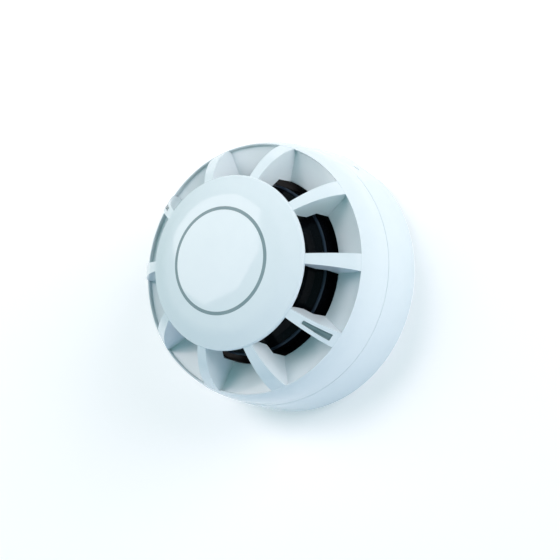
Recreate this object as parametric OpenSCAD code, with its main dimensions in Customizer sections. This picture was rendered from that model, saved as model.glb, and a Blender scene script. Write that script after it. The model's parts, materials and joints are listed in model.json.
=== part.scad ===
// Point-type heat detector: a vented head on a twist-lock mounting base.
// The back face of the base lies in z = 0, centred on the origin. +Z runs out of the wall towards
// the cap, +X points at one light-pipe rib and +Y at the flat on the base.

/* [Base] */
// Radius of the base at its back face
base_r = 52; // [43:0.5:63]
// Height of the base, up to the seam
base_h = 18.7; // [15.5:0.1:23]
// Radius that the base's skirt loses between its back face and the seam
skirt_lean = 1.5; // [0.5:0.1:3]
// Wall of the base's skirt
skirt_wall = 2.2; // [1.6:0.1:3]
// Thickness of the base's back plate
plate_t = 2.5; // [2:0.1:3.5]
// Radius of the cable entry in the back plate
entry_r = 12; // [9:0.5:13]
// Distance between the two fixing slots, centre to centre
fixing_centres = 55; // [52:0.5:58]
// Width of a fixing slot
fixing_w = 4.5; // [3.5:0.1:5]
// Length of a fixing slot, end to end
fixing_l = 14.5; // [8:0.5:15]
// Half the angle that the flat takes out of the skirt
flat_half_angle = 10.5; // [8:0.5:13]
// Width of the lock's access slot in the flat
key_slot_w = 2.6; // [1.6:0.1:3.6]
// Height of the lock's access slot in the flat
key_slot_h = 1.2; // [0.8:0.1:1.8]

/* [Twist lock] */
// Angle that the head turns through between locked and free
twist_angle = 20; // [18:1:22]
// Number of lugs on the head
lug_count = 3; // [3:1:3]
// Angle that a lug spans
lug_span = 17; // [12:1:17]
// Angle that a ledge in the base spans
ledge_span = 18; // [12:1:18]
// Thickness of a lug
lug_t = 2.3; // [1.8:0.1:2.6]
// How far a lug stands out from the neck
lug_reach = 2.6; // [2:0.1:3]
// Wall of the ring in the base that carries the ledges
ring_wall = 2.2; // [1.8:0.1:2.6]
// Room between that ring and the skirt
ring_gap = 2.9; // [2.4:0.1:3.6]
// Clearance between the head and the base where they turn on each other
turn_clear = 0.4; // [0.25:0.05:0.6]
// Width of the lock slider
lock_w = 5; // [4:0.1:6]
// Thickness of the lock slider
lock_t = 2.1; // [1.6:0.1:2.3]
// Travel of the lock slider
lock_travel = 2.2; // [1.6:0.1:2.4]

/* [Cover] */
// Height of the whole detector, from the wall to the middle of the cap
total_h = 55.4; // [46:0.1:67]
// Gap at the seam between base and cover
seam_gap = 0.3; // [0.2:0.05:0.6]
// Chamfer on the outer edges at the seam
seam_edge = 0.15; // [0.1:0.05:0.4]
// Radius that the cover is set in from the base at the seam
seam_step = 0.25; // [0:0.05:0.5]
// Wall of the cover
cover_wall = 2.2; // [1.6:0.1:2.6]
// Exponent of the cover's rounded side: 2 is an ellipse, more is squarer
dome_power = 2.4; // [2:0.05:3]
// Number of ribs round the cap
rib_count = 10; // [10:2:10]
// Half the width of a rib's top edge at the cap
rib_half_in = 1.83; // [1.6:0.05:2.2]
// Half the width of a rib's top edge at its outer end
rib_half_out = 3.12; // [2.6:0.05:3.4]
// Lean of a rib's side faces, in degrees
rib_draft = 3.3; // [0:0.1:5]
// How far the pockets' outer edge is set in from the base's radius
pocket_margin = 5.2; // [4.5:0.1:6]
// Depth of the pocket floor at its outer edge, below the lip of the pocket
shelf_drop = 1.665; // [1.2:0.005:3.6]
// Fall of the pocket floor towards the middle
shelf_fall = 2.7; // [1.5:0.1:3.5]
// Thickness of the pocket floor
shelf_t = 1.8; // [1.4:0.1:2.2]
// Radius of the cap
cap_r = 32.3; // [30:0.1:36]
// Wall of the cap
cap_wall = 2.0; // [1.6:0.1:2.4]
// Height of the cap's upright edge
cap_edge_h = 1.9; // [1.4:0.1:2.4]
// Fall of the cap from its middle to the top of its upright edge
cap_fall = 6.1; // [4:0.1:7]
// Radius of the crease where the cap's outer band starts
crease_r = 26; // [22:0.1:28]
// Fall of the cap from its middle to the crease
crease_fall = 2.9; // [2:0.1:4]
// Middle radius of the grey ring
ring_r = 19.24; // [14:0.01:21]
// Width of the grey ring
ring_line = 1.25; // [0.8:0.05:2]
// Depth of the grey ring in the cap
ring_depth = 0.6; // [0.4:0.1:0.9]

/* [Light pipes] */
// Distance from the axis to the inner end of a light window
window_in = 37.5; // [36:0.1:38]
// Length of a light window along its rib, in plan
window_l = 8.3; // [6:0.1:8.5]
// Half the width of a light window at its inner end
window_half_in = 0.7; // [0.6:0.05:0.9]
// Half the width of a light window at its outer end
window_half_out = 1.25; // [0.9:0.05:1.4]

/* [Airflow drum] */
// Radius of the drum's lip
drum_r = 32.7; // [31:0.1:34]
// Wall of the drum
drum_wall = 1.6; // [1.2:0.1:2]
// Gap between the drum's lip and the pocket floor's inner edge
drum_gap = 2.8; // [2:0.1:3.5]
// Radius that the drum loses above its lip
drum_neck_in = 4.6; // [3:0.1:6]
// Number of air slots round the drum
slot_count = 36; // [24:2:40]
// Width of an air slot
slot_w = 2.4; // [1.6:0.1:2.8]

/* [Chassis and board] */
// Thickness of the chassis plate
chassis_t = 2; // [1.6:0.1:2.4]
// Wall of the chassis rim and neck
chassis_wall = 1.6; // [1.4:0.1:2]
// Clearance between the chassis and the cover
fit_clear = 0.2; // [0.1:0.05:0.3]
// Thickness of the circuit board
board_t = 1.6; // [1.2:0.1:2]
// Height of the board's pillars above the chassis plate
pillar_h = 2.5; // [2:0.1:4]
// Radius of the posts that take the cover screws
post_r = 2.6; // [2.4:0.1:2.8]
// Radius of the circle that the board screws lie on
board_fix_r = 28; // [24:0.5:30]

/* [Contacts] */
// Number of terminals
contact_count = 4; // [4:1:4]
// Radius of the circle that the contacts lie on
contact_r = 29; // [27:0.5:30]
// Height of a terminal's plinth above the back plate
plinth_h = 4.8; // [4:0.1:5.5]
// Thickness of a contact's metal
contact_t = 0.5; // [0.4:0.05:0.8]
// Width of a contact spring
contact_w = 5; // [4:0.1:6]
// Thickness of a contact blade
blade_t = 1.2; // [0.8:0.1:1.4]
// Gap left between a spring and its blade
contact_gap = 0.1; // [0.05:0.05:0.3]

/* [Hidden] */

$fn = 96;
eps = 0.01;          // how far a cut runs past a face
far = 90;            // longer than anything in the part
small = 32;          // sides of a small round

// Rings of the twist lock, from the outside inwards.
skirt_top_r = base_r - skirt_lean;
skirt_in = skirt_top_r - skirt_wall;
ring_out = skirt_in - ring_gap;
ring_in = ring_out - ring_wall;
lug_r = ring_in - turn_clear;
neck_r = lug_r - lug_reach;
neck_in = neck_r - chassis_wall;
ledge_in = neck_r + turn_clear;

// Levels, from the wall outwards.
cover_z = base_h + seam_gap;
chassis_z = base_h - 4.8;
chassis_top = chassis_z + chassis_t;
ring_top = chassis_z - 0.5;
ledge_t = 2.2;
lug_top = ring_top - ledge_t - turn_clear + 0.1;
neck_bottom = plate_t + 3;
lock_z = neck_bottom + 0.7;
board_z = chassis_top + pillar_h;
board_top = board_z + board_t;

// The cover: its rounded side, pockets and cap.
cover_r = skirt_top_r - seam_step;
cover_in = cover_r - cover_wall;
chassis_r = cover_in - fit_clear;
rim_in = chassis_r - chassis_wall;
rim_top = board_top + 0.4;
dome_foot = cover_z - 2;
cap_top_edge = total_h - cap_fall;
cap_bottom = cap_top_edge - cap_edge_h;
cap_under = total_h - cap_fall - 0.2;
rib_meet_z = cap_top_edge - 0.6;
dome_h = (rib_meet_z - dome_foot) / pow(1 - pow(cap_r / cover_r, dome_power), 1 / dome_power);
pocket_r = base_r - pocket_margin;
shelf_in = drum_r + drum_gap;
pocket_lip_z = dome_z(pocket_r + 0.35);
shelf_out_z = pocket_lip_z - shelf_drop;
shelf_in_z = shelf_out_z - shelf_fall;
shelf_slope = shelf_fall / (pocket_r - shelf_in);
crease_z = total_h - crease_fall;

// A rib's side: half width = side_at_axis + x * tan(side_turn) - z * tan(rib_draft).
side_turn = atan((rib_half_out - rib_half_in) / (pocket_r - cap_r)
    - tan(rib_draft) * (rib_meet_z - pocket_lip_z) / (pocket_r - cap_r));
side_at_axis = rib_half_in - cap_r * tan(side_turn) + rib_meet_z * tan(rib_draft);
rib_step = 360 / rib_count;

// Cover screws stand under four ribs, clear of the two light-pipe ribs.
post_angles = [rib_step, 180 - rib_step, 180 + rib_step, 360 - rib_step];
post_at = rim_in - post_r - 0.2;
boss_h = 1.5;
boss_r = post_r + 0.8;
post_foot = chassis_top + boss_h;
head_room = 1.8;
pilot_r = 1.15;
pilot_depth = 8;

// Board, its screws and the things that stand on it.
board_r = rim_in - 0.6;
pillar_r = 3;
pillar_hole = 1.0;

// Drum levels.
drum_lip_z = shelf_in_z + 3.5;
drum_flange_z = shelf_in_z - shelf_t - 2.6;
drum_flange_t = 1.6;
drum_neck_r = drum_r - drum_neck_in;
drum_top = cap_under - 3.4;
drum_floor_z = drum_lip_z + 2.6;
slot_low = drum_lip_z + 7;
slot_high = drum_top - 1.4;
chimney_r = 4.2;

// Light pipes and their LEDs.
window_out = window_in + window_l;
led_at = (window_in + window_out) / 2 - 0.4;
pipe_clear = 0.05;
led_h = 1.1;
lens_r = 1.0;

// Contacts.
plinth_top = plate_t + plinth_h;
blade_z = chassis_z - blade_t;
spring_rise = blade_z - contact_gap - plinth_top - contact_t;
screw_at = -5;
crest_at = 7;
clamp_t = 0.8;
thread_r = 1.4;
contact_pin_r = 0.7;
contact_angles = [for (k = [0 : contact_count - 1]) 45 + k * 360 / contact_count];
// The board's screws stand half way between the contact pins.
board_angles = [for (a = contact_angles) a + atan(crest_at / contact_r) + 180 / contact_count];

// Where the small parts stand on the board: x, y.
micro_at = [-8, 13];
bridge_at = [15, 16];
storage_at = [-17, -9];
film_at = [16, -13];
transistor_at = [-21, 5];
choke_at = [2, -19];
reference_at = [19, 2];

// Radius of the cover's rounded side at height z, and the height at radius r.
function dome_radius(z) =
    cover_r * pow(1 - pow(max(z - dome_foot, 0) / dome_h, dome_power), 1 / dome_power);
function dome_z(r) =
    dome_foot + dome_h * pow(1 - pow(r / cover_r, dome_power), 1 / dome_power);
// Points on the rounded side between two heights, n steps.
function dome_points(z1, z2, n) =
    [for (i = [0 : n]) let (z = z1 + (z2 - z1) * i / n) [dome_radius(z), z]];
// Height of the pocket floor at radius r.
function shelf_z(r) = shelf_out_z - (pocket_r - r) * shelf_slope;
// Height of the cap's top face at radius r: a shallow bowl to the crease, then a steeper band.
function cap_z(r) = r <= crease_r
    ? total_h - crease_fall * pow(r / crease_r, 2)
    : crease_z - (crease_z - cap_top_edge - 0.55) * (r - crease_r) / (cap_r - 0.8 - crease_r);
// Points of a band of thickness t along the path p.
function ribbon_side(p, h) = [for (i = [0 : len(p) - 1])
    let (a = p[max(i - 1, 0)], b = p[min(i + 1, len(p) - 1)], d = b - a)
    p[i] + h * [-d[1], d[0]] / norm(d)];
function reversed(v) = [for (i = [len(v) - 1 : -1 : 0]) v[i]];
function ribbon(p, t) = concat(ribbon_side(p, t / 2), reversed(ribbon_side(p, -t / 2)));

// A ring, or part of one: inner and outer radius, low and high level, first angle and span.
module ring_sector(r1, r2, z1, z2, a0 = 0, span = 360) {
    rotate([0, 0, a0])
        rotate_extrude(angle = span)
            polygon([[r1, z1], [r2, z1], [r2, z2], [r1, z2]]);
}

// Moves the children to a radius and angle, with local x pointing outwards.
module at(r, a) {
    rotate([0, 0, a])
        translate([r, 0, 0])
            children();
}

// A round bar between two levels.
module post(r, z1, z2) {
    translate([0, 0, z1])
        cylinder(r = r, h = z2 - z1, $fn = small);
}

// A cross recess in a screw head whose top is at z.
module cross_recess(z, size, depth) {
    for (a = [0, 90])
        rotate([0, 0, a])
            translate([-size / 2, -size / 8, z - depth])
                cube([size, size / 4, depth + eps]);
}

// A pan-head screw with its seat at z = 0, its head above that and its shank below.
module screw(head_r, head_h, shank_r, shank_l) {
    difference() {
        union() {
            post(head_r, 0, head_h * 0.6);
            translate([0, 0, head_h * 0.6])
                cylinder(r1 = head_r, r2 = head_r * 0.72, h = head_h * 0.4, $fn = small);
            post(shank_r, -shank_l, eps);
        }
        cross_recess(head_h, head_r * 1.3, head_h * 0.5);
    }
}

// ---------------------------------------------------------------- base

// Outer shape of the base as one turned shell: back plate and skirt.
module base_shell() {
    edge = 0.5;
    rotate_extrude()
        polygon([
            [0, 0], [base_r - edge, 0], [base_r, edge],
            [base_r - skirt_lean * 0.3, base_h * 0.45],
            [base_r - skirt_lean * 0.65, base_h * 0.78],
            [skirt_top_r, base_h - seam_edge], [skirt_top_r - seam_edge, base_h],
            [skirt_in, base_h], [skirt_in, plate_t], [0, plate_t]]);
}

// The flat on the skirt, leaning with the skirt's side.
module flat_cut() {
    low = base_r * cos(flat_half_angle);
    high = skirt_top_r * cos(flat_half_angle);
    lean = atan((low - high) / base_h);
    translate([0, low, 0])
        rotate([lean, 0, 0])
            translate([-far / 2, 0, -far / 2])
                cube([far, far, far]);
}

// Ledges that hold the head's lugs, with a stop at each end of a lug's travel.
module bayonet_ring() {
    stop_span = 2;
    stop_gap = 0.6;
    ring_sector(ring_in, ring_out, plate_t - eps, ring_top);
    for (k = [0 : lug_count - 1]) {
        middle = 30 + k * 360 / lug_count;
        ring_sector(ledge_in, ring_in + eps, ring_top - ledge_t, ring_top,
            middle - ledge_span / 2, ledge_span);
        for (a = [middle - lug_span / 2 - stop_gap - stop_span,
                  middle + lug_span / 2 + twist_angle + stop_gap])
            ring_sector(ledge_in, ring_in + eps, plate_t - eps, ring_top, a, stop_span);
    }
}

// Plinth under one terminal, at local x = 0, with its long side along local y.
module plinth() {
    translate([-contact_w / 2 - 1, screw_at - 4.5, plate_t - eps])
        cube([contact_w + 2, 11, plinth_h + eps]);
    translate([-contact_w / 2 - 1.8, screw_at - 4.5, plate_t - eps])
        cube([0.8 - 0.1, 11, plinth_h + 1.2]);
}

// Channel that guides the lock slider between the skirt and the ring.
module lock_guide() {
    side = 1.6;
    half = lock_w / 2 + 0.3;
    top = lock_z + lock_t;
    intersection() {
        ring_sector(ring_out - eps, skirt_in + eps, plate_t - eps, top);
        union() {
            translate([-half - side, 0, 0])
                cube([2 * (half + side), far, lock_z - 0.15]);
            for (s = [-1, 1])
                translate([s * (half + side / 2) - side / 2, 0, 0])
                    cube([side, far, far]);
        }
    }
}

// A fixing slot along x, with a shallow seat for the screw head.
module fixing_slot() {
    half = (fixing_l - fixing_w) / 2;
    seat_w = fixing_w + 4;
    for (s = [[fixing_w, -eps, plate_t + 2 * eps], [seat_w, plate_t - 0.8, 2]]) {
        translate([-half, -s[0] / 2, s[1]])
            cube([2 * half, s[0], s[2]]);
        for (x = [-half, half])
            translate([x, 0, s[1]])
                cylinder(r = s[0] / 2, h = s[2]);
    }
}

module base() {
    color("white")
        difference() {
            union() {
                difference() {
                    base_shell();
                    flat_cut();
                }
                bayonet_ring();
                lock_guide();
                for (a = contact_angles)
                    at(contact_r, a)
                        plinth();
                ring_sector(entry_r, entry_r + 1.4, plate_t - eps, plate_t + 1.5);
                for (a = [0 : 30 : 330])
                    if (a != 90)
                        rotate([0, 0, a])
                            translate([ring_out - eps, -0.6, plate_t - eps])
                                cube([ring_gap + 2 * eps, 1.2, 5]);
            }
            translate([0, 0, -eps])
                cylinder(r = entry_r, h = far);
            for (s = [-1, 1])
                translate([s * fixing_centres / 2, 0, 0])
                    fixing_slot();
            for (a = contact_angles)
                at(contact_r, a)
                    translate([0, screw_at, plate_t + 0.6])
                        cylinder(r = thread_r + 0.1, h = far, $fn = small);
            translate([-lock_w / 2 - 0.3, ledge_in - 2, lock_z - 0.15])
                cube([lock_w + 0.6, ring_out - ledge_in + 2.5, lock_t + 0.45]);
            translate([-key_slot_w / 2, skirt_in - 1, lock_z + lock_t / 2 - key_slot_h / 2])
                cube([key_slot_w, far, key_slot_h]);
        }
}

module lock_slider() {
    tip = neck_r + 0.8;
    tail = skirt_in - 0.7;
    color("whitesmoke")
        difference() {
            translate([-lock_w / 2, tip, lock_z])
                cube([lock_w, tail - tip, lock_t]);
            for (s = [-1, 1])
                translate([s * lock_w / 2, tip, lock_z + lock_t / 2])
                    rotate([0, 0, 45])
                        cube([1.6, 1.6, lock_t + 1], center = true);
            translate([-key_slot_w / 2, tail - 0.7, lock_z + lock_t / 2 - key_slot_h / 2])
                cube([key_slot_w, far, key_slot_h]);
        }
}

// ---------------------------------------------------------------- contacts

// Sprung strip: flat under its screw, then rising to a crest under the head's blade.
module contact_spring(k) {
    path = [[screw_at - 4, 0], [screw_at + 4.5, 0], [screw_at + 5.5, 0.25],
        [crest_at - 2.6, spring_rise - 0.55], [crest_at - 1.2, spring_rise - 0.1],
        [crest_at, spring_rise], [crest_at + 1.2, spring_rise - 0.15],
        [crest_at + 3.2, spring_rise - 1.5]];
    color("gold")
        at(contact_r, contact_angles[k - 1])
            difference() {
                translate([contact_w / 2, 0, plinth_top + contact_t / 2])
                    rotate([90, 0, -90])
                        mirror([1, 0, 0])
                            linear_extrude(contact_w)
                                polygon(ribbon(path, contact_t));
                translate([0, screw_at, plinth_top - 1])
                    cylinder(r = thread_r + 0.2, h = 4, $fn = small);
            }
}

module clamp_plates() {
    size = 6.2;
    color("silver")
        for (a = contact_angles)
            at(contact_r, a)
                difference() {
                    translate([-size / 2 + 0.6, screw_at - size / 2, plinth_top + contact_t])
                        cube([size - 1.2, size, clamp_t]);
                    translate([0, screw_at, plinth_top])
                        cylinder(r = thread_r + 0.2, h = 4, $fn = small);
                }
}

module terminal_screws() {
    color("silver")
        for (a = contact_angles)
            at(contact_r, a)
                translate([0, screw_at, plinth_top + contact_t + clamp_t])
                    screw(2.3, 2, thread_r, plinth_h);
}

// Blade under the chassis, with a pin up to the board.
module contact_blade(k) {
    color("silver")
        at(contact_r, contact_angles[k - 1]) {
            translate([-contact_w / 2 + 0.3, crest_at - 3.5, blade_z])
                cube([contact_w - 0.6, 8, blade_t]);
            translate([0, crest_at, 0])
                post(contact_pin_r, chassis_z - eps, board_top + 0.8);
        }
}

// ---------------------------------------------------------------- chassis

module chassis() {
    seal_z = chassis_top + 0.6;
    color("gainsboro")
        difference() {
            union() {
                rotate_extrude()
                    polygon([
                        [0, chassis_z], [neck_in, chassis_z], [neck_in, neck_bottom],
                        [neck_r, neck_bottom], [neck_r, chassis_z], [chassis_r, chassis_z],
                        [chassis_r, seal_z], [chassis_r - 0.7, seal_z],
                        [chassis_r - 0.7, seal_z + 1.4], [chassis_r, seal_z + 1.4],
                        [chassis_r, rim_top], [rim_in, rim_top], [rim_in, chassis_top],
                        [0, chassis_top]]);
                for (k = [0 : lug_count - 1])
                    ring_sector(neck_r - eps, lug_r, lug_top - lug_t, lug_top,
                        30 + k * 360 / lug_count - lug_span / 2, lug_span);
                for (a = post_angles)
                    at(post_at, a)
                        post(boss_r, chassis_top - eps, post_foot);
                for (a = board_angles)
                    at(board_fix_r, a)
                        post(pillar_r, chassis_top - eps, board_z);
                for (r = [14, 21])
                    ring_sector(r, r + 1.2, chassis_top - eps, chassis_top + 1);
            }
            for (a = post_angles)
                at(post_at, a) {
                    post(2.5, chassis_z - eps, chassis_z + head_room);
                    post(1.5, chassis_z, far);
                }
            for (a = board_angles)
                at(board_fix_r, a)
                    post(pillar_hole, chassis_top + 0.2, far);
            for (a = contact_angles)
                at(contact_r, a)
                    translate([0, crest_at, 0])
                        post(contact_pin_r + 0.1, chassis_z - 1, far);
            for (a = [90, 90 - twist_angle])
                rotate([0, 0, a])
                    translate([neck_in - 1, -lock_w / 2 - 0.6, neck_bottom - eps])
                        cube([chassis_wall + 2, lock_w + 1.2, lock_t + 1.1]);
        }
}

module cover_seal() {
    color("dimgray")
        ring_sector(chassis_r - 0.7, chassis_r + fit_clear - 0.05,
            chassis_top + 0.65, chassis_top + 1.95);
}

module cover_screws() {
    color("silver")
        for (a = post_angles)
            at(post_at, a)
                translate([0, 0, chassis_z + head_room])
                    mirror([0, 0, 1])
                        screw(2.2, 1.6, pilot_r - 0.05, chassis_t + boss_h - head_room + 6);
}

// ---------------------------------------------------------------- board and its parts

module board() {
    color("seagreen")
        difference() {
            disc(board_r, board_z, board_top);
            for (a = post_angles)
                at(post_at, a)
                    post(post_r + 0.6, board_z - 1, board_top + 1);
            for (a = board_angles)
                at(board_fix_r, a)
                    post(pillar_hole + 0.4, board_z - 1, board_top + 1);
            for (a = contact_angles)
                at(contact_r, a)
                    translate([0, crest_at, 0])
                        post(contact_pin_r + 0.1, board_z - 1, board_top + 1);
        }
}

// A large disc between two levels.
module disc(r, z1, z2) {
    translate([0, 0, z1])
        cylinder(r = r, h = z2 - z1);
}

module board_screws() {
    color("silver")
        for (a = board_angles)
            at(board_fix_r, a)
                translate([0, 0, board_top])
                    screw(2.3, 1.6, pillar_hole - 0.05, board_t + pillar_h - 0.5);
}

module led(k) {
    rotate([0, 0, (k - 1) * 180])
        translate([led_at, 0, board_top]) {
            color("white")
                translate([-1.7, -1.3, 0])
                    cube([3.4, 2.6, led_h]);
            color("red")
                intersection() {
                    translate([0, 0, led_h - 0.2])
                        sphere(r = lens_r, $fn = small);
                    translate([-2, -2, led_h - 0.1])
                        cube(4);
                }
        }
}

// Plan shape of a light window, grown by g.
module window_plan(g) {
    polygon([
        [window_in - g, -window_half_in - g], [window_out + g, -window_half_out - g],
        [window_out + g, window_half_out + g], [window_in - g, window_half_in + g]]);
}

// Clear blade that carries an LED's light to the top of its rib, grown by g for its slot.
module pipe_blade(g, sink) {
    stem = 2.2;
    foot = board_top + led_h + lens_r + 0.2 - g * 20;
    knee = shelf_z(led_at) + 1 - g;
    intersection() {
        linear_extrude(far)
            window_plan(g);
        rotate_extrude()
            polygon(concat(
                [[led_at - stem - g, foot], [led_at + stem + g, foot],
                 [led_at + stem + g, knee], [window_out + g, dome_z(window_out) - 2.2 - g]],
                [for (i = [0 : 10])
                    let (r = window_out + g - (window_l + 2 * g) * i / 10)
                    [r, dome_z(r) - sink]],
                [[window_in - g, dome_z(window_in) - 6 - g], [led_at - stem - g, knee]]));
    }
}

module light_pipe(k) {
    color("darkseagreen", 0.7)
        rotate([0, 0, (k - 1) * 180])
            pipe_blade(0, 0.08);
}

// Black guide round the sensing chamber: flange, lip, slotted neck and a floor with a chimney.
module airflow_drum() {
    foot_r = 1.8;
    flange_r = shelf_in + 2;
    color("black")
        difference() {
            union() {
                rotate_extrude()
                    polygon([
                        [drum_r - drum_wall, drum_flange_z], [flange_r, drum_flange_z],
                        [flange_r, drum_flange_z + drum_flange_t],
                        [drum_r, drum_flange_z + drum_flange_t],
                        [drum_r, drum_lip_z - 0.3], [drum_r - 0.3, drum_lip_z],
                        [drum_r - 1.2, drum_lip_z + 0.5], [drum_neck_r + 1.4, drum_lip_z + 2.6],
                        [drum_neck_r, slot_low - 1.6], [drum_neck_r, drum_top],
                        [drum_neck_r - drum_wall, drum_top],
                        [drum_neck_r - drum_wall, drum_floor_z + 1.4],
                        [chimney_r, drum_floor_z + 1.4], [chimney_r, drum_floor_z + 3],
                        [chimney_r - 1.2, drum_floor_z + 3], [chimney_r - 1.2, drum_floor_z],
                        [drum_neck_r - drum_wall, drum_floor_z],
                        [drum_r - drum_wall, drum_lip_z - 1.6]]);
                for (a = [45 : 90 : 315])
                    at(drum_r + 1, a)
                        post(foot_r, board_top, drum_flange_z + eps);
            }
            for (k = [0 : slot_count - 1])
                rotate([0, 0, (k + 0.5) * 360 / slot_count])
                    translate([drum_neck_r - drum_wall - 1, -slot_w / 2, slot_low])
                        cube([drum_wall + 2, slot_w, slot_high - slot_low]);
        }
}

// Glass bead on two leads, standing in the middle of the sensing chamber.
module sense_thermistor() {
    bead_z = drum_floor_z + 0.62 * (drum_top - drum_floor_z);
    color("sienna") {
        translate([0, 0, bead_z])
            rotate_extrude($fn = small)
                polygon([for (a = [-90 : 15 : 90]) [1.3 * cos(a), 2 * sin(a)]]);
        for (s = [-1, 1])
            translate([s * 0.65, 0, 0])
                post(0.28, board_top, bead_z);
        post(1.2, board_top, board_top + 3);
    }
}

module reference_thermistor() {
    color("sienna")
        translate([reference_at[0], reference_at[1], board_top]) {
            for (s = [-1, 1])
                translate([s * 1.2, 0, 0])
                    post(0.28, 0, 2.2);
            translate([0, 0, 3])
                rotate([0, 90, 0])
                    cylinder(r = 1.1, h = 3.6, center = true, $fn = small);
        }
}

// A chip with legs: body length, width, height, legs on each long side and their pitch.
module chip(l, w, h, legs, pitch) {
    leg = pitch * 0.35;
    translate([-l / 2, -w / 2, 0.15])
        cube([l, w, h]);
    for (i = [0 : legs - 1])
        for (s = [-1, 1])
            translate([(i - (legs - 1) / 2) * pitch - leg / 2, s * (w / 2 + 0.6) - 0.8, 0])
                cube([leg, 1.6, 0.5]);
}

module microcontroller() {
    color("dimgray")
        translate([micro_at[0], micro_at[1], board_top])
            chip(10.2, 7.4, 2.2, 8, 1.27);
}

module bridge_rectifier() {
    color("dimgray")
        translate([bridge_at[0], bridge_at[1], board_top])
            chip(6.4, 5, 2.6, 2, 4);
}

module storage_capacitor() {
    color("steelblue")
        translate([storage_at[0], storage_at[1], board_top])
            rotate_extrude($fn = small)
                polygon([[0, 0], [3.1, 0], [3.1, 1], [2.9, 1.3], [3.1, 1.6],
                    [3.1, 6.8], [2.8, 7.1], [0, 7.1]]);
}

module film_capacitor() {
    color("goldenrod")
        translate([film_at[0], film_at[1], board_top]) {
            translate([-3.6, -1.6, 0.3])
                cube([7.2, 3.2, 6.2]);
            for (s = [-1, 1])
                translate([s * 2.5, 0, 0])
                    post(0.3, 0, 1);
        }
}

// Small blocks on the board: a row along x of count, with each one's length, width and height.
module block_row(x, y, count, pitch, size) {
    for (i = [0 : count - 1])
        translate([x + i * pitch - size[0] / 2, y - size[1] / 2, board_top])
            cube(size);
}

module ceramic_capacitors() {
    color("tan") {
        block_row(-14, 21.5, 5, 3.2, [1.3, 2, 1.1]);
        block_row(8, -7, 3, 3, [1.3, 2, 1.1]);
    }
}

module resistors() {
    color("black") {
        block_row(-12, 5.4, 6, 2.6, [1.3, 2.1, 0.6]);
        block_row(-9, -13, 4, 2.6, [1.3, 2.1, 0.6]);
        block_row(8, 9, 4, 2.6, [1.3, 2.1, 0.6]);
    }
}

module line_transistor() {
    color("dimgray")
        translate([transistor_at[0], transistor_at[1], board_top])
            chip(4.5, 3.6, 1.6, 2, 2.3);
}

module choke() {
    color("dimgray")
        translate([choke_at[0], choke_at[1], board_top])
            rotate_extrude($fn = small)
                polygon([[0, 0], [3.4, 0], [3.4, 0.9], [2.4, 1.2], [2.4, 3.4],
                    [3.4, 3.7], [3.4, 4.5], [0, 4.5]]);
}

// ---------------------------------------------------------------- cover

// Turned skirt of the cover with the pocket floor.
module cover_skirt() {
    lip = 0.4;
    rotate_extrude()
        polygon(concat(
            [[cover_in, cover_z], [cover_r - seam_edge, cover_z]],
            dome_points(cover_z + seam_edge, pocket_lip_z - lip, 14),
            [[pocket_r + 0.45, pocket_lip_z], [pocket_r + 0.1, pocket_lip_z - 0.25],
             [pocket_r, pocket_lip_z - 0.6], [pocket_r, shelf_out_z],
             [shelf_in + 0.3, shelf_in_z], [shelf_in, shelf_in_z - 0.3],
             [shelf_in, shelf_in_z - shelf_t],
             [cover_in - 4.5, shelf_z(cover_in - 4.5) - shelf_t],
             [cover_in - 1.4, shelf_z(cover_in - 4.5) - shelf_t - 1.6],
             [cover_in, shelf_z(cover_in - 4.5) - shelf_t - 4.6]]));
}

// The wedge that bounds a rib's sides, along local x.
module rib_wedge() {
    intersection() {
        translate([shelf_in - 8, -far / 2, 0])
            cube([far, far, far]);
        rib_side();
        mirror([0, 1, 0])
            rib_side();
    }
}

// Everything on the rib's side of one of its leaning side faces.
module rib_side() {
    translate([0, side_at_axis, 0])
        rotate([rib_draft, 0, side_turn])
            translate([-far, -far, -far])
                cube([2 * far, far, 2 * far]);
}

// The ribs: a turned solid under the rounded side, cut down to the wedges.
module ribs() {
    foot_r = pocket_r + 1;
    under_cap_r = cap_r - 1.3;
    edge_top_r = shelf_in - 0.7;
    edge_top_z = drum_lip_z + 3.4;
    knee_r = drum_r + 0.6;
    knee_z = edge_top_z + 1.2;
    throat_r = under_cap_r + 0.7;
    throat_z = edge_top_z + 2.6;
    throat_top_z = edge_top_z + 6.6;
    intersection() {
        rotate_extrude()
            polygon(concat(
                [[shelf_in, shelf_in_z - 1], [foot_r, shelf_z(foot_r) - 1]],
                dome_points(dome_z(foot_r) - 0.4, rib_meet_z, 18),
                [[under_cap_r, rib_meet_z + 0.2], [under_cap_r, throat_top_z],
                 [throat_r, throat_z], [knee_r, knee_z], [edge_top_r, edge_top_z]]));
        for (k = [0 : rib_count - 1])
            rotate([0, 0, k * rib_step])
                rib_wedge();
    }
}

// The cap: domed inside the crease, a steeper band outside it and a rounded upright edge.
module cap() {
    steps = 12;
    outer = [for (i = [0 : steps]) let (r = crease_r * i / steps) [r, cap_z(r)]];
    inner = [for (i = [steps : -1 : 0])
        let (r = (crease_r - 0.6) * i / steps) [r, cap_z(r) - cap_wall]];
    rotate_extrude()
        polygon(concat(
            outer,
            [[cap_r - 0.8, cap_top_edge + 0.55], [cap_r - 0.35, cap_top_edge + 0.3],
             [cap_r - 0.1, cap_top_edge - 0.1], [cap_r, cap_top_edge - 0.5],
             [cap_r - 0.15, cap_bottom + 0.2], [cap_r - 0.35, cap_bottom],
             [cap_r - 2, cap_bottom], [cap_r - 2.6, cap_bottom + 0.6]],
            inner));
}

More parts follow.
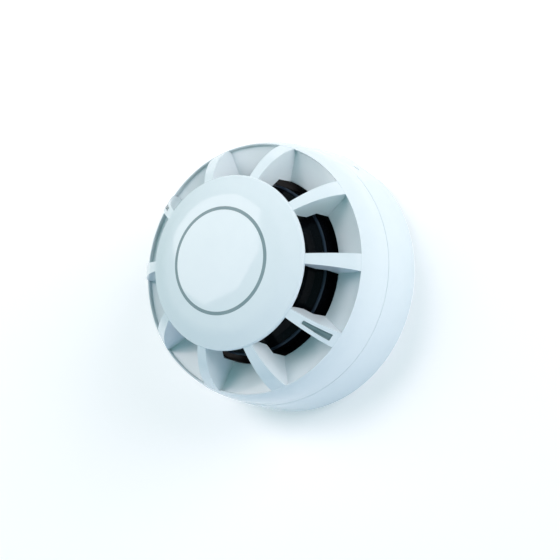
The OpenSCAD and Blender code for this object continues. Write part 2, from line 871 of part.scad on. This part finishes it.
module cover() {
    color("white")
        difference() {
            union() {
                cover_skirt();
                ribs();
                cap();
                for (a = post_angles)
                    at(post_at, a)
                        post(post_r, post_foot, shelf_z(post_at) - 0.5);
            }
            for (a = post_angles)
                at(post_at, a)
                    post(pilot_r, post_foot - 1, post_foot + pilot_depth);
            for (a = [0, 180])
                rotate([0, 0, a])
                    pipe_blade(pipe_clear, -1);
            ring_sector(ring_r - ring_line / 2, ring_r + ring_line / 2,
                cap_z(ring_r) - ring_depth, far);
        }
}

// Grey ring, flush in its groove in the cap.
module cap_ring() {
    in = ring_r - ring_line / 2;
    out = ring_r + ring_line / 2;
    bed = cap_z(ring_r) - ring_depth;
    color("slategray")
        rotate_extrude()
            polygon([[in, bed], [out, bed], [out, cap_z(out)], [in, cap_z(in)]]);
}

base();
lock_slider();
contact_spring(1);  // contact_spring_1
contact_spring(2);  // contact_spring_2
contact_spring(3);  // contact_spring_3
contact_spring(4);  // contact_spring_4
clamp_plates();
terminal_screws();
chassis();
contact_blade(1);  // contact_blade_1
contact_blade(2);  // contact_blade_2
contact_blade(3);  // contact_blade_3
contact_blade(4);  // contact_blade_4
cover_seal();
cover_screws();
board();
board_screws();
led(1);  // led_1
led(2);  // led_2
light_pipe(1);  // light_pipe_1
light_pipe(2);  // light_pipe_2
airflow_drum();
sense_thermistor();
reference_thermistor();
microcontroller();
bridge_rectifier();
storage_capacitor();
film_capacitor();
ceramic_capacitors();
resistors();
line_transistor();
choke();
cover();
cap_ring();
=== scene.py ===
import json
import math

import bmesh
import bpy
from mathutils import Matrix, Vector


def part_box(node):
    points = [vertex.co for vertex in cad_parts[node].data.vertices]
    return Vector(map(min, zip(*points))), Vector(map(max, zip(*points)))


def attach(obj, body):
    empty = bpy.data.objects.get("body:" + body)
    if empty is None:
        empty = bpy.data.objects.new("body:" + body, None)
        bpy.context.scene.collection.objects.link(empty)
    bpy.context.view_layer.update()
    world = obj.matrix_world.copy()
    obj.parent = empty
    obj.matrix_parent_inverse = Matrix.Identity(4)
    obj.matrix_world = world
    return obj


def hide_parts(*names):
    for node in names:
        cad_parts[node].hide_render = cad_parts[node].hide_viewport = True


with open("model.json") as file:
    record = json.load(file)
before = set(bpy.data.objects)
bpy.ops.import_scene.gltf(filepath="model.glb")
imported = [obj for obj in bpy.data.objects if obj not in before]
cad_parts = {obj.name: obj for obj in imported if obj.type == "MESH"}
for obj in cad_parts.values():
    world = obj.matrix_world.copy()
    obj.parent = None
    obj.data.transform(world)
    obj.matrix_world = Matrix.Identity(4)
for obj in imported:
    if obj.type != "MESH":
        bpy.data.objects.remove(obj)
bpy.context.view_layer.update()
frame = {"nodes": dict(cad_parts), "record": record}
MM = 0.001


def link(tree, a, b):
    tree.links.new(a, b)


def in_scene(name, data):
    """A new object in the scene that shows that mesh or camera."""
    thing = bpy.data.objects.new(name, data)
    bpy.context.scene.collection.objects.link(thing)
    return thing


def circle(radius, sides, turn=0.0):
    """The corners of a level regular polygon about the origin."""
    return [(radius * math.cos(turn + 2 * math.pi * k / sides),
             radius * math.sin(turn + 2 * math.pi * k / sides), 0) for k in range(sides)]


# ---------------------------------------------------------------- materials

COAT_ROUGH = 0.12
ROUGH_LEAST = 0.02      # no surface is a perfect mirror
DRIFT_DETAIL = 3.0      # noise octaves of the colour's drift
GRAIN_DETAIL = 4.0      # noise octaves of the moulding grain
TONE_DARK = 0.3         # noise level that still gives the darker tone
TONE_LIGHT = 0.7        # noise level that first gives the lighter tone
GRAIN_HEIGHT = 0.05 * MM


def material(name, dark, light, rough, patch=160.0, grain=2600.0, bump=0.05, metal=0.0,
             coat=0.0, spec=0.5, rough_span=0.06, clear=0.0):
    """A surface whose colour drifts between two tones, with fine moulding grain in gloss and relief."""
    m = bpy.data.materials.new(name)
    m.use_nodes = True
    tree = m.node_tree
    shader = tree.nodes["Principled BSDF"]
    shader.inputs["Metallic"].default_value = metal
    shader.inputs["Coat Weight"].default_value = coat
    shader.inputs["Coat Roughness"].default_value = COAT_ROUGH
    shader.inputs["Specular IOR Level"].default_value = spec
    shader.inputs["Transmission Weight"].default_value = clear
    where = tree.nodes.new("ShaderNodeTexCoord")
    drift = tree.nodes.new("ShaderNodeTexNoise")
    drift.inputs["Scale"].default_value = patch
    drift.inputs["Detail"].default_value = DRIFT_DETAIL
    link(tree, where.outputs["Object"], drift.inputs["Vector"])
    tone = tree.nodes.new("ShaderNodeValToRGB")
    tone.color_ramp.elements[0].position = TONE_DARK
    tone.color_ramp.elements[0].color = (*dark, 1)
    tone.color_ramp.elements[1].position = TONE_LIGHT
    tone.color_ramp.elements[1].color = (*light, 1)
    link(tree, drift.outputs["Fac"], tone.inputs["Fac"])
    link(tree, tone.outputs["Color"], shader.inputs["Base Color"])
    fine = tree.nodes.new("ShaderNodeTexNoise")
    fine.inputs["Scale"].default_value = grain
    fine.inputs["Detail"].default_value = GRAIN_DETAIL
    link(tree, where.outputs["Object"], fine.inputs["Vector"])
    gloss = tree.nodes.new("ShaderNodeMapRange")
    gloss.inputs["To Min"].default_value = max(rough - rough_span, ROUGH_LEAST)
    gloss.inputs["To Max"].default_value = rough + rough_span
    link(tree, fine.outputs["Fac"], gloss.inputs["Value"])
    link(tree, gloss.outputs["Result"], shader.inputs["Roughness"])
    relief = tree.nodes.new("ShaderNodeBump")
    relief.inputs["Strength"].default_value = bump
    relief.inputs["Distance"].default_value = GRAIN_HEIGHT
    link(tree, fine.outputs["Fac"], relief.inputs["Height"])
    link(tree, relief.outputs["Normal"], shader.inputs["Normal"])
    return m


LOOK = {
    "white_housing": material("white_housing", (0.77, 0.855, 0.885), (0.785, 0.868, 0.895), 0.07,
                              bump=0.006, rough_span=0.02),
    "white_inner": material("white_inner", (0.66, 0.74, 0.76), (0.7, 0.78, 0.8), 0.42, bump=0.12),
    "black_drum": material("black_drum", (0.0012, 0.0017, 0.0026), (0.002, 0.0027, 0.004), 0.26,
                           bump=0.08, spec=0.09),
    # the lip bead is black moulding; its lighter blue-grey tone is a painted highlight along the drum's
    # lip
    "black_lip_painted_highlight": material("black_lip_painted_highlight", (0.014, 0.024, 0.04), (0.02, 0.032, 0.052), 0.3,
                          bump=0.08, spec=0.4),
    "ring_grey": material("ring_grey", (0.2, 0.29, 0.31), (0.235, 0.325, 0.345), 0.38),
    "smoky_clear": material("smoky_clear", (0.17, 0.27, 0.28), (0.23, 0.34, 0.35), 0.12, clear=0.25),
    "led_red": material("led_red", (0.45, 0.02, 0.02), (0.6, 0.05, 0.04), 0.2, clear=0.2),
    "plated_steel": material("plated_steel", (0.5, 0.5, 0.5), (0.64, 0.63, 0.61), 0.3, metal=1.0,
                             rough_span=0.12, bump=0.2),
    "contact_bronze": material("contact_bronze", (0.55, 0.38, 0.2), (0.66, 0.48, 0.27), 0.3, metal=1.0,
                               rough_span=0.12, bump=0.2),
    "seal_rubber": material("seal_rubber", (0.02, 0.02, 0.022), (0.035, 0.035, 0.037), 0.65, bump=0.3),
    "board_green": material("board_green", (0.012, 0.1, 0.04), (0.02, 0.14, 0.06), 0.35, coat=0.5,
                            patch=420.0),
    "chip_black": material("chip_black", (0.012, 0.012, 0.013), (0.022, 0.022, 0.024), 0.5, bump=0.3),
    "capacitor_blue": material("capacitor_blue", (0.02, 0.06, 0.22), (0.03, 0.08, 0.28), 0.28, coat=0.4),
    "capacitor_yellow": material("capacitor_yellow", (0.6, 0.38, 0.03), (0.7, 0.46, 0.05), 0.35),
    "ceramic_tan": material("ceramic_tan", (0.42, 0.3, 0.17), (0.52, 0.38, 0.22), 0.45, bump=0.3),
    "thermistor_glass": material("thermistor_glass", (0.25, 0.09, 0.03), (0.34, 0.13, 0.05), 0.1,
                                 clear=0.3),
}
NODE_SLOT = {row["node"]: row["material_slot"] for row in frame["record"]["subparts"]}
for name, node in frame["nodes"].items():
    node.data.materials.clear()
    node.data.materials.append(LOOK[NODE_SLOT[name]])


# ---------------------------------------------------------------- lights and room

NEAR = 1.3              # how far off the upper lights stand
FAR = 1.5               # how far off the low lights stand
ROOM_TINT = (0.5, 0.95, 0.99, 1)
ROOM_LIGHT = 0.4
WHITE = (1, 1, 1, 1)
BLACK = (0, 0, 0, 1)


def softbox(name, where, radius, strength, sides, colour, turn=0.0, mirrored=False):
    """A flat studio light with that many sides, facing the object's middle."""
    mesh = bpy.data.meshes.new(name)
    mesh.from_pydata(circle(radius, sides, turn), [], [tuple(range(sides))])
    lamp = in_scene(name, mesh)
    lamp.rotation_mode = "QUATERNION"
    lamp.rotation_quaternion = where.to_track_quat("Z", "Y")
    lamp.location = where
    lamp.visible_camera = False
    lamp.visible_glossy = mirrored
    glow = bpy.data.materials.new(name)
    glow.use_nodes = True
    shader = glow.node_tree.nodes["Principled BSDF"]
    shader.inputs["Base Color"].default_value = BLACK
    shader.inputs["Emission Color"].default_value = (*colour, 1)
    shader.inputs["Emission Strength"].default_value = strength
    mesh.materials.append(glow)


# the octagon is the one light that the gloss of the cap mirrors
softbox("octagon_box", Vector((-0.605, -0.14, 0.783)) * NEAR, 0.5, 2.6, 8, (1.0, 0.93, 0.93),
        turn=0.2, mirrored=True)
softbox("key_box", Vector((-0.4, 0.1, 0.91)) * NEAR, 0.22, 9.0, 24, (1.0, 0.84, 0.87))
softbox("side_box", Vector((0.42, 0.78, 0.42)) * FAR, 0.6, 5.5, 4, (1.0, 0.88, 0.92))
softbox("fill_box", Vector((0.7, -0.7, 0.12)) * FAR, 0.45, 3.2, 4, (0.62, 0.55, 1.0))

# the room lights the object in pale cyan, and is plain white behind it
world = bpy.data.worlds.new("studio")
world.use_nodes = True
room_tree = world.node_tree
room = room_tree.nodes["Background"]
room.inputs["Color"].default_value = ROOM_TINT
room.inputs["Strength"].default_value = ROOM_LIGHT
backdrop = room_tree.nodes.new("ShaderNodeBackground")
backdrop.inputs["Color"].default_value = WHITE
ray = room_tree.nodes.new("ShaderNodeLightPath")
either = room_tree.nodes.new("ShaderNodeMixShader")
link(room_tree, ray.outputs["Is Camera Ray"], either.inputs[0])
link(room_tree, room.outputs["Background"], either.inputs[1])
link(room_tree, backdrop.outputs["Background"], either.inputs[2])
link(room_tree, either.outputs["Shader"], room_tree.nodes["World Output"].inputs["Surface"])
bpy.context.scene.world = world


# ---------------------------------------------------------------- floor

FLOOR_R = 0.7
FLOOR_SIDES = 128
FLOOR_GLOW = 0.18
FLOOR_GLOW_TINT = (1, 0.9, 0.88, 1)

floor_mesh = bpy.data.meshes.new("floor")
floor_mesh.from_pydata(circle(FLOOR_R, FLOOR_SIDES), [], [tuple(range(FLOOR_SIDES))])
floor = in_scene("floor", floor_mesh)
paper = material("paper", (0.975, 0.975, 0.98), (0.985, 0.985, 0.99), 0.85, patch=3.0, grain=900.0,
                 bump=0.02, spec=0.1)
paper_shader = paper.node_tree.nodes["Principled BSDF"]
paper_shader.inputs["Emission Color"].default_value = FLOOR_GLOW_TINT
paper_shader.inputs["Emission Strength"].default_value = FLOOR_GLOW
floor_mesh.materials.append(paper)


# ---------------------------------------------------------------- camera

AZIMUTH, ELEVATION, ROLL = (math.radians(v) for v in (22.36, 57.6, -76.44))
AIM = Vector((7.0, 1.0, 22.0)) * MM
DISTANCE = 0.4929
FOCAL = 83.8
SENSOR = 36

back = Vector((math.cos(ELEVATION) * math.cos(AZIMUTH), math.cos(ELEVATION) * math.sin(AZIMUTH),
               math.sin(ELEVATION)))
lens = bpy.data.cameras.new("camera")
lens.lens = FOCAL
lens.sensor_width = SENSOR
camera = in_scene("camera", lens)
camera.rotation_mode = "QUATERNION"
camera.rotation_quaternion = (back.to_track_quat("Z", "Y")
                              @ Matrix.Rotation(ROLL, 4, "Z").to_quaternion())
camera.location = AIM + back * DISTANCE
bpy.context.scene.camera = camera
bpy.context.scene.view_settings.view_transform = "Standard"


# ---------------------------------------------------------------- pieces made from CAD nodes

SAME_POINT = 1e-6                # corners closer than this are one
FLAT_ANGLE = math.radians(0.2)   # faces that meet more flatly than this are one
EDGE_ANGLE = math.radians(28)    # edges sharper than this are rounded
COVER_ROUND = 0.85 * MM
BASE_ROUND = 0.3 * MM
ROUND_STEPS = 4
EVEN_WEIGHT = 80                 # how far large faces rule the shading beside them

SEAM_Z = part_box("base")[1].z
SEAM_BAND = 0.8 * MM    # what lies this close to the seam belongs to it
SEAM_GAP = 0.3 * MM     # the clearance between the two mouldings in CAD
SEAM_SHUT = 0.05 * MM   # how much of it shows
SEAM_SOFT = 0.4         # how much of the chamfers' height shows
SEAM_ROUND = 0.12       # share of the full rounding there
SKIRT_SLOPE = 0.45      # radius lost for each unit of height at the seam
RIM_SHARE = 0.9         # the outer wall lies beyond this share of the radius

LENS_SINK = 0.2 * MM    # how far the window's middle lies below the rib
LENS_RIDGE = 0.7 * MM   # how much further its sides lie
LENS_CUTS = 3
FACING_UP = 0.5         # a normal's least height on the window's face
UPPER_SHARE = 0.5       # the window's face lies in this upper share of the light pipe

LIP_R = 32.05 * MM
LIP_Z = 32.75 * MM
LIP_THICK = 0.62 * MM
LIP_TURNS = 180
LIP_SIDES = 16


def cad_copy(node_name):
    """An editable copy of a CAD node's mesh, with its corners joined."""
    shape = bmesh.new()
    shape.from_mesh(frame["nodes"][node_name].data)
    bmesh.ops.remove_doubles(shape, verts=shape.verts, dist=SAME_POINT)
    return shape


def stand_in(shape, node_name, piece_name, body):
    """Makes that copy a piece, in place of the CAD node and with its finish."""
    mesh = bpy.data.meshes.new(piece_name)
    shape.to_mesh(mesh)
    shape.free()
    mesh.materials.append(LOOK[NODE_SLOT[node_name]])
    piece = in_scene(piece_name, mesh)
    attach(piece, body)
    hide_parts(node_name)
    return piece


def close_seam(shape):
    """Draws the outer edges at the seam together, so that it shows as a fine line."""
    rim = RIM_SHARE * max(v.co.xy.length for v in shape.verts)
    for v in shape.verts:
        rise = v.co.z - SEAM_Z
        if v.co.xy.length < rim or abs(rise) > SEAM_BAND:
            continue
        if rise > SEAM_GAP / 2:
            new_rise = SEAM_SHUT + (rise - SEAM_GAP) * SEAM_SOFT
        else:
            new_rise = rise * SEAM_SOFT
        v.co.z = SEAM_Z + new_rise
        v.co.xy *= 1 + SKIRT_SLOPE * (rise - new_rise) / v.co.xy.length


def moulding(node_name, piece_name, body, width):
    """A copy of a CAD node whose sharp edges are rounded, finely at the seam and fully elsewhere."""
    shape = cad_copy(node_name)
    bmesh.ops.dissolve_degenerate(shape, edges=shape.edges, dist=SAME_POINT)
    close_seam(shape)
    bmesh.ops.dissolve_limit(shape, angle_limit=FLAT_ANGLE, verts=shape.verts,
                             edges=shape.edges, delimit={"NORMAL"})
    weight = shape.edges.layers.float.new("bevel_weight_edge")
    for edge in shape.edges:
        if len(edge.link_faces) != 2 or edge.calc_face_angle(0) < EDGE_ANGLE:
            continue
        level = (edge.verts[0].co.z + edge.verts[1].co.z) / 2
        edge[weight] = SEAM_ROUND if abs(level - SEAM_Z) < SEAM_BAND else 1.0
    for face in shape.faces:
        face.smooth = True
    piece = stand_in(shape, node_name, piece_name, body)
    bevel = piece.modifiers.new("bevel", "BEVEL")
    bevel.limit_method = "WEIGHT"
    bevel.width = width
    bevel.segments = ROUND_STEPS
    bevel.use_clamp_overlap = True
    even = piece.modifiers.new("even", "WEIGHTED_NORMAL")
    even.weight = EVEN_WEIGHT


def window_lens(node_name, piece_name, body):
    """A copy of a light pipe whose window face lies a little below the rib, with a ridge along it."""
    shape = cad_copy(node_name)
    top = max(v.co.z for v in shape.verts)
    low = min(v.co.z for v in shape.verts)
    half = max(abs(v.co.y) for v in shape.verts)
    bmesh.ops.subdivide_edges(shape, edges=shape.edges, cuts=LENS_CUTS, use_grid_fill=True)
    shape.normal_update()
    for v in shape.verts:
        if v.normal.z > FACING_UP and v.co.z > low + UPPER_SHARE * (top - low):
            v.co.z -= LENS_SINK + LENS_RIDGE * abs(v.co.y) / half
    stand_in(shape, node_name, piece_name, body)


def bead(name, radius, level, thick, look, body):
    """A closed round bead about the axis, smooth all over."""
    points, faces = [], []
    for i in range(LIP_TURNS):
        a = 2 * math.pi * i / LIP_TURNS
        for j in range(LIP_SIDES):
            b = 2 * math.pi * j / LIP_SIDES
            r = radius + thick * math.cos(b)
            points.append((r * math.cos(a), r * math.sin(a), level + thick * math.sin(b)))
            here, beside = i * LIP_SIDES, (i + 1) % LIP_TURNS * LIP_SIDES
            up = (j + 1) % LIP_SIDES
            faces.append((here + j, beside + j, beside + up, here + up))
    mesh = bpy.data.meshes.new(name)
    mesh.from_pydata(points, [], faces)
    for face in mesh.polygons:
        face.use_smooth = True
    mesh.materials.append(LOOK[look])
    piece = in_scene(name, mesh)
    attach(piece, body)


for number in (1, 2):
    window_lens(f"light_pipe_{number}", f"window_lens_{number}", "head")
# the bead's blue-grey colour is a painted highlight along the drum's lip
bead("drum_lip_bead", LIP_R, LIP_Z, LIP_THICK, "black_lip_painted_highlight", "head")
moulding("cover", "cover_shell", "head", COVER_ROUND)
moulding("base", "base_shell", "base", BASE_ROUND)
